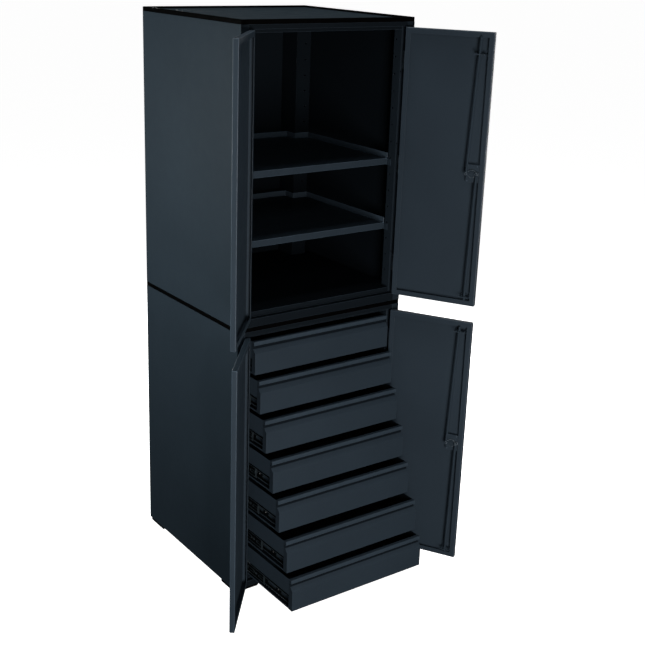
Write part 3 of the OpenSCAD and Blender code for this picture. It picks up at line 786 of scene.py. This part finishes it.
for unit in ("upper", "lower"):
    low, high = millimetres(f"{unit}_top_tray")
    hx, hy = (high.x - low.x) / 2, (high.y - low.y) / 2
    z0, z1 = low.z, high.z
    bm = bmesh.new()
    # Outer wall, rounded rim, then the wall of the well
    rings = [rounded(hx - 1, hy - 1, 6, z0), rounded(hx, hy, 7, z0 + 1), rounded(hx, hy, 7, z1 - 2)]
    for a in (30, 60, 90):
        s, c = math.sin(math.radians(a)), math.cos(math.radians(a))
        rings.append(rounded(hx - 2 + 2 * c, hy - 2 + 2 * c, 5 + 2 * c, z1 - 2 + 2 * s))
    rings += [rounded(hx - 8.6, hy - 8.6, 3.6, z1), rounded(hx - 9.4, hy - 9.4, 3.6, z1 - 0.5)]
    rings += [rounded(hx - 9.9, hy - 9.9, 3.6, z1 - 6.4), rounded(hx - 11, hy - 11, 3.4, z1 - TRAY_WELL)]
    loft(bm, rings)
    new_piece(f"{unit}_tray_moulding", bm, "cabinet", (black_tray,), (f"{unit}_top_tray",))
    if unit == "upper":
        bm = bmesh.new()
        top = z1 - TRAY_WELL
        loft(bm, [
            rounded(hx - 12, hy - 12, 4, top + 0.05), rounded(hx - 12, hy - 12, 4, top + 0.6),
            rounded(hx - 12.5, hy - 12.5, 4, top + 1.0),
        ])
        new_piece("top_sheet", bm, "cabinet", (top_sheet,))


# ---- Bolts that join the units ----

# Thickness of the plates that the bolts clamp, the bolts' radius, and their places on one side
PLATE, BOLT_R = 3.0, 4
BOLTS = ((16, 30), (69, DEPTH - 52))

bolts = bmesh.new()
low, high = millimetres("lower_top_tray")
head, under = high.z + PLATE, low.z - PLATE
for base in SIDES.values():
    for x, y in BOLTS:
        place = base @ Matrix.Translation((x, y, 0))
        socket_bolt(bolts, base @ Matrix.Translation((x, y, head)))
        turned(bolts, [(BOLT_R, under - 10), (BOLT_R, head)], place, 20)
        hex_nut(bolts, base @ Matrix.Translation((x, y, under - 6.5)), 6.5, 6.4, BOLT_R)
new_piece("unit_bolts", bolts, "cabinet", (bright_zinc,), ("stacking_bolts",))


# ---- Drawers ----

DRAWERS = range(1, 8)
# Drawer front: where it starts in x, its depth behind the lip, how far its face stands proud, its sheet
FRONT_X, FRONT_DEEP, FRONT_PROUD, FRONT_T = 61.0, 14.0, 8.0, 1.5
# Width over which the ends of a front's sheet are eased
FRONT_EASE = 0.4
# Steps of a front's outline that take the second and the third finish: the lip, lighter as a painted
# highlight with wear, then the grip groove, darker as a painted shadow
FRONT_FINISHES = ((1, 13, 1), (13, 26, 2))
# Tray and rails: walls in x, the rest in z from the drawer's lip
TRAY_X, CHANNEL_X, CHANNEL_TOP, TRAY_FLOOR = 61.5, 73.7, -63.0, -110.0
RUNNER_LOW, WALL_TOP, SLIDE_Z, RAIL_T = -115.0, -20.0, -86.0, 1.2
INNER_HALF, INNER_OPEN_X = 13, 66.5
MIDDLE_HALF, MIDDLE_WEB_X, MIDDLE_OPEN_X = 17, 64, 71.5
# Slots of an inner rail from the front's back: distance, length and width
INNER_SLOTS = ((34, 46, 10), (118, 46, 8), (300, 60, 8))
# Slots of a middle rail: distance from its front end, length, width and height over its middle
MIDDLE_SLOTS = (
    (26, 30, 7, 0), (58, 7, 7, 0), (92, 42, 9, 0), (150, 7, 7, 6), (150, 7, 7, -6), (205, 54, 8, 0),
    (262, 7, 7, 0), (320, 42, 9, 0), (372, 7, 7, 0), (430, 30, 7, 0),
)
# Ball cages of a middle rail, outer and inner: x, height over its middle, span in y, height of the balls,
# then the balls' x, first y, spacing and radius
CAGES = (
    ((64.7, 68.3), 18.6, (100, 290), 18.65, 66.5, 106, 11.8, 1.6),
    ((67.2, 69.8), 14.65, (60, 240), 14.65, 68.5, 66, 11.2, 1.1),
)


def front_outline(height):
    """Lip, grip groove, slope and flat face of a drawer front, as y and z from its lip."""
    p = FRONT_PROUD
    path = [(FRONT_DEEP, 0)] + arc((2, -2), 2, 90, 180, 6) + arc((2, -12), 2, 180, 270, 6)
    path += arc((4, -19.5), 5.2, 100, -40, 10) + [(5.2, -25.7)] + arc((-p + 4.2, -41), 4.2, 150, 180, 4)
    return path + arc((-p + 2, -height + 2), 2, 180, 270, 6) + [(FRONT_DEEP, -height)]


def strip(bm, path, thickness, span, place, finishes):
    """A sheet along a smooth path of y and z, drawn along x, with its ends eased.

    Finishes are (first step, last step, material index).
    """
    edge = FRONT_EASE
    near, far = [], []
    for i, p in enumerate(path):
        n0 = left_normal(path[max(i - 1, 0)], path[max(i, 1)])
        n1 = left_normal(path[min(i, len(path) - 2)], path[min(i + 1, len(path) - 1)])
        near.append(Vector(p))
        far.append(Vector(p) + thickness * (n0 + n1) / (1 + n0.dot(n1)))
    columns = []
    for s, inset in ((span[0], edge), (span[0] + edge, 0), (span[1] - edge, 0), (span[1], edge)):
        a = [p + (q - p) * inset / thickness for p, q in zip(near, far)]
        columns.append([[bm.verts.new(place @ Vector((s, p.x, p.y))) for p in face] for face in (a, far)])
    count = len(path)
    for k, ((n0, f0), (n1, f1)) in enumerate(zip(columns, columns[1:])):
        for i in range(count - 1):
            face = bm.faces.new((n0[i], n0[i + 1], n1[i + 1], n1[i]))
            # The eased ends take the second finish, a painted highlight with wear
            face.material_index = 0 if k == 1 else 1
            for first, last, material in finishes:
                if first <= i < last:
                    face.material_index = material
            bm.faces.new((f0[i], f0[i + 1], f1[i + 1], f1[i]))
        for i in (0, count - 1):
            bm.faces.new((n0[i], n1[i], f1[i], f0[i]))
    for n, f in (columns[0], columns[-1]):
        for i in range(count - 1):
            bm.faces.new((n[i], n[i + 1], f[i + 1], f[i]))


def plate_of(bm, outline, x, place):
    """A flat plate with this y, z outline between two x."""
    loft(bm, [[place @ Vector((s, *p)) for p in outline] for s in x])


def slot_outline(y, z, length, width, grow=0):
    """A slot with round ends, as y and z, grown by a margin."""
    straight = (length - width) / 2
    outline = []
    for shift, start in ((straight, -90), (-straight, 90)):
        end = arc((0, 0), width / 2 + grow, start, start + 180, 8)
        outline += [(y + shift + p[0], z + p[1]) for p in end]
    return outline


def slot_rim(bm, slot, place, x):
    """The raised rim pressed round a slot, from the web at x[0] out to x[1]."""
    levels = ((x[0], 0), (x[1], 0.15), (x[1], 0.95), (x[0], 1.1))
    loop_loft(bm, [[place @ Vector((s, *p)) for p in slot_outline(*slot, grow)] for s, grow in levels])


def middle_rails(name, body, z, y, node):
    """Middle rails with their slots, ball cages and balls."""
    rails, cuts, cages, balls, rims = (bmesh.new() for _ in range(5))
    for base in SIDES.values():
        place = base @ Matrix.Translation((0, 0, z))
        web, lip, half = MIDDLE_WEB_X, MIDDLE_OPEN_X, MIDDLE_HALF
        sheet(rails, [(lip, half), (web, half), (web, -half), (lip, -half)], RAIL_T, y, place, 1.0, 4)
        for start, length, width, dz in MIDDLE_SLOTS:
            slot = (y[0] + start, dz, length, width)
            plate_of(cuts, slot_outline(*slot), (web - 4, web + 4), place)
            slot_rim(rims, slot, place, (web + 0.1, web - 0.6))
        for bar in (2.0, 8.0):
            block(rims, (web - 0.7, y[0] + bar, -15), (web + 0.1, y[0] + bar + 2.2, 15), place, 0.25)
        for low in (-half, half - 1.6):
            block(rims, (web - 0.5, y[0] + 0.5, low), (web + 0.15, y[1] - 0.5, low + 1.6), place, 0.25)
        for flip in (1, -1):
            for x, height, span, ball_z, ball_x, first, spacing, r in CAGES:
                low = (x[0], y[0] + span[0], flip * height - 0.3)
                block(cages, low, (x[1], y[0] + span[1], flip * height + 0.3), place, 0.15)
                for i in range(16):
                    ball(balls, (ball_x, y[0] + first + spacing * i, flip * ball_z), r, place)
    new_piece(name, rails, body, (rail_steel,), (node,), cutter=cuts)
    new_piece(f"{name}_rims", rims, body, (rail_rim_painted_highlight,))
    new_piece(f"{name}_cages", cages, body, (lock_edge_wear_and_highlight,))
    new_piece(f"{name}_balls", balls, body, (ball_steel,))


for i in DRAWERS:
    low, high = millimetres(f"drawer_{i}_front")
    lip_z = high.z
    lip_y = low.y + FRONT_PROUD + DEPTH / 2
    back = millimetres(f"drawer_{i}_tray")[1].y + DEPTH / 2 - lip_y
    place = CORNER @ Matrix.Translation((0, lip_y, lip_z))
    both = (place, MIRROR @ place)
    ends = (FRONT_X, WIDTH - FRONT_X)
    outline = front_outline(high.z - low.z)
    bm = bmesh.new()
    strip(bm, outline, FRONT_T, ends, place, FRONT_FINISHES)
    # The end plates keep just inside the sheet's outline
    bottom = low.z - high.z
    inner = [(max(y + 0.35, 0.6 - FRONT_PROUD), min(max(z, bottom + 0.6), -0.6)) for y, z in outline]
    for x in ((ends[0] + 0.5, ends[0] + 1.9), (ends[1] - 1.9, ends[1] - 0.5)):
        plate_of(bm, inner, x, place)
    new_piece(
        f"drawer_{i}_face", bm, f"drawer_{i}", (front_paint, front_edge_wear_and_highlight, groove_painted_shadow),
        (f"drawer_{i}_front",),
    )

    bm = bmesh.new()
    far_wall, far_channel = WIDTH - TRAY_X, WIDTH - CHANNEL_X
    path = [(TRAY_X, -1), (TRAY_X, CHANNEL_TOP), (CHANNEL_X, CHANNEL_TOP), (CHANNEL_X, TRAY_FLOOR)]
    path += [(far_channel, TRAY_FLOOR), (far_channel, CHANNEL_TOP), (far_wall, CHANNEL_TOP), (far_wall, -1)]
    sheet(bm, path, SHEET, (FRONT_DEEP, back), place)
    for y in (FRONT_DEEP + 0.05, back - SHEET - 0.05):
        wall_end = (far_wall - 1.1, y + SHEET, WALL_TOP)
        block(bm, (TRAY_X + 1.1, y, CHANNEL_TOP + 1.0), wall_end, place, 0.3)
        channel_end = (far_channel - 1.1, y + SHEET, CHANNEL_TOP + 1.5)
        block(bm, (CHANNEL_X + 1.1, y, TRAY_FLOOR + 0.6), channel_end, place, 0.3)
    for base in both:
        runner = [(TRAY_X, RUNNER_LOW), (TRAY_X, TRAY_FLOOR), (CHANNEL_X + SHEET, TRAY_FLOOR)]
        sheet(bm, runner, -SHEET, (FRONT_DEEP, back), base)
    box = new_piece(
        f"drawer_{i}_box", bm, f"drawer_{i}", (tray_paint_painted_light, painted_shade_inside),
        (f"drawer_{i}_tray",),
    )
    # Only the outer sides keep the lighter tray paint, a painted light; all other faces take the inside
    # paint, a painted shade
    for face in box.data.polygons:
        if face.normal.x * face.center.x < abs(face.center.x) * SQUARELY:
            face.material_index = 1

    rails, screws, cuts, rims = (bmesh.new() for _ in range(4))
    web, lip = CHANNEL_X - 0.1, INNER_OPEN_X
    z0, z1 = SLIDE_Z - INNER_HALF, SLIDE_Z + INNER_HALF
    for base in both:
        for start, length, width in INNER_SLOTS:
            slot = (FRONT_DEEP + start, SLIDE_Z, length, width)
            plate_of(cuts, slot_outline(*slot), (70, web + 0.1), base)
            slot_rim(rims, slot, base, (web - RAIL_T + 0.1, web - RAIL_T - 0.7))
        inner_rail = [(lip, z0), (web, z0), (web, z1), (lip, z1)]
        sheet(rails, inner_rail, RAIL_T, (FRONT_DEEP + 0.3, back - 8), base, 0.8)
        for low in (z0 - 0.1, z1 - 1.7):
            block(rims, (lip - 0.6, FRONT_DEEP + 0.5, low), (lip + 0.4, back - 8.5, low + 1.8), base, 0.3)
        for y in (FRONT_DEEP + 6.5, FRONT_DEEP + 78, FRONT_DEEP + 220, back - 40):
            pan_screw(screws, base @ facing((web - RAIL_T, y, SLIDE_Z + 1), (-1, 0, 0)), 2.6, 1.6)
    new_piece(f"drawer_{i}_inner_rails", rails, f"drawer_{i}", (rail_steel,), cutter=cuts)
    new_piece(f"drawer_{i}_rail_rims", rims, f"drawer_{i}", (rail_rim_painted_highlight,))
    new_piece(f"drawer_{i}_rail_screws", screws, f"drawer_{i}", (bright_zinc,))

    low, high = millimetres(f"drawer_{i}_mid_rails")
    y = (low.y + DEPTH / 2, high.y + DEPTH / 2)
    middle_rails(f"drawer_{i}_telescope", f"drawer_{i}_middle", lip_z + SLIDE_Z, y, f"drawer_{i}_mid_rails")


# ---- Rivets on the back, and rubber buffers on the door stops ----

# Distance of the rivets from the back panel's edges
RIVET_INSET = 16


def spaced(low, high, count):
    """Evenly spaced places between two edges, inset from both."""
    gap = (high - low - 2 * RIVET_INSET) / (count - 1)
    return [low + RIVET_INSET + gap * k for k in range(count)]


rivets = bmesh.new()
for unit in ("upper", "lower"):
    low, high = millimetres(f"{unit}_back_panel")
    along_x, along_z = spaced(low.x, high.x, 6), spaced(low.z, high.z, 8)
    points = [(x, z) for x in along_x for z in (along_z[0], along_z[-1])]
    points += [(x, z) for x in (along_x[0], along_x[-1]) for z in along_z[1:-1]]
    for x, z in points:
        dome(rivets, facing((x, high.y, z), (0, 1, 0)), 3.2, 1.2)
new_piece("back_rivets", rivets, "cabinet", (paint_edge_wear_and_highlight,))

buffers = bmesh.new()
for base in SIDES.values():
    for unit in ("upper", "lower"):
        low, high = millimetres(f"{unit}_left_door")
        for z in (low.z + 150, (low.z + high.z) / 2 + 70, high.z - 150):
            dome(buffers, base @ facing((34.2, 22, z), (0, -1, 0)), 2.8, 1.1)
new_piece("stop_buffers", buffers, "cabinet", (rubber,))


# ---- Stage, light and camera ----


def stage_material():
    """A matt pale floor that stays evenly bright."""
    n = Nodes("studio_floor")
    tone = n.blend(n.spread(n.noise(0.8, 3), 0, 1), (0.90, 0.90, 0.90), (0.93, 0.93, 0.93))
    rough = n.spread(n.noise(3, 3), 0.75, 0.85)
    return n.finish(
        tone, rough, Specular_IOR_Level=0.0, Emission_Color=(1, 1, 1, 1), Emission_Strength=0.97,
    )


# Half the floor's width, in millimetres
FLOOR_REACH = 60000.0

bm = bmesh.new()
bmesh.ops.create_grid(bm, x_segments=8, y_segments=8, size=FLOOR_REACH)
floor = as_object("studio_floor", bm)
floor.location.z = -0.0005
floor.data.materials.append(stage_material())
floor.visible_diffuse = False
floor.visible_glossy = False

# Strength of the sky's light at the top and near the ground
SKY, GROUND = 0.015, 0.005


def studio_world():
    """White behind the object; for the light on it, a soft sky that dims towards the ground."""
    world = bpy.data.worlds.new("studio")
    world.use_nodes = True
    tree = world.node_tree
    background = tree.nodes["Background"]
    place = tree.nodes.new("ShaderNodeTexCoord")
    split = tree.nodes.new("ShaderNodeSeparateXYZ")
    height = tree.nodes.new("ShaderNodeMapRange")
    path = tree.nodes.new("ShaderNodeLightPath")
    seen = tree.nodes.new("ShaderNodeMix")
    for key, number in (("From Min", -0.35), ("From Max", 0.45), ("To Min", GROUND), ("To Max", SKY)):
        height.inputs[key].default_value = number
    seen.inputs["B"].default_value = 1.0
    tree.links.new(place.outputs["Generated"], split.inputs["Vector"])
    tree.links.new(split.outputs["Z"], height.inputs["Value"])
    tree.links.new(path.outputs["Is Camera Ray"], seen.inputs["Factor"])
    tree.links.new(height.outputs["Result"], seen.inputs["A"])
    tree.links.new(seen.outputs["Result"], background.inputs["Strength"])
    background.inputs["Color"].default_value = (1, 1, 1, 1)
    return world


scene.world = studio_world()
scene.view_settings.view_transform = "Standard"


def softbox(name, place, target, size, power, colour=(1, 1, 1)):
    """A rectangular light at a place, turned to its target, that the camera doesn't see."""
    data = bpy.data.lights.new(name, "AREA")
    data.color = colour
    data.shape, data.size, data.size_y, data.energy = "RECTANGLE", size[0], size[1], power
    lamp = bpy.data.objects.new(name, data)
    lamp.location = place
    lamp.visible_camera = False
    lamp.rotation_mode = "QUATERNION"
    lamp.rotation_quaternion = (Vector(target) - Vector(place)).to_track_quat("-Z", "Y")
    scene.collection.objects.link(lamp)


SIDE_TINT, FRONT_TINT = (0.97, 1.0, 0.96), (1.0, 0.935, 0.895)
# Name, place, the point it faces, size, watts and tint of each light
LIGHTS = (
    ("side_softbox", (-1.7, 0.0, 1.5), (-0.345, 0, 1.5), (1.3, 0.5), 18.6, SIDE_TINT),
    ("rear_left_softbox", (-2.4, 1.6, 1.4), (-0.345, 0.1, 1.4), (1.4, 0.8), 13.0, SIDE_TINT),
    ("front_left_softbox", (-2.0, -2.6, 1.1), (-0.2, -0.4, 1.0), (0.9, 2.0), 5),
    ("front_softbox", (-1.2, -3.5, 0.8), (0.0, -0.4, 0.8), (0.9, 1.6), 113, FRONT_TINT),
    ("high_front_softbox", (-0.7, -2.8, 3.0), (0.0, -0.4, 0.9), (1.0, 0.8), 7.5),
    ("top_softbox", (0, 0, 4.2), (0, 0, 1), (2.0, 2.0), 50),
    ("right_softbox", (2.8, 0.7, 1.5), (0.345, 0.1, 1.1), (1.2, 1.6), 60),
    ("rear_softbox", (0.5, 3.2, 1.6), (0, 0.325, 1.1), (1.4, 1.6), 60),
)
for light in LIGHTS:
    softbox(*light)

# The camera: where it stands in metres, its angles in radians, focal length and shift
STAND = (-2.1882, -3.2904, 2.2221)
YAW, PITCH, ROLL = -0.6209, -0.3163, 0.0311
LENS, SHIFT_X, SHIFT_Y = 62.49, 0.0244, -0.0209

camera_data = bpy.data.cameras.new("camera")
camera = bpy.data.objects.new("camera", camera_data)
scene.collection.objects.link(camera)
ahead = Vector((-math.sin(YAW) * math.cos(PITCH), math.cos(YAW) * math.cos(PITCH), math.sin(PITCH)))
across = Vector((math.cos(YAW), math.sin(YAW), 0))
above = across.cross(ahead)
right = math.cos(ROLL) * across + math.sin(ROLL) * above
top = right.cross(ahead)
turn = Matrix((right, top, -ahead)).transposed()
camera.matrix_world = Matrix.Translation(STAND) @ turn.to_4x4()
camera_data.lens = LENS
camera_data.sensor_width = 36
camera_data.shift_x = SHIFT_X
camera_data.shift_y = SHIFT_Y
camera_data.clip_start, camera_data.clip_end = 0.05, 200
camera_data.dof.use_dof = False
scene.camera = camera
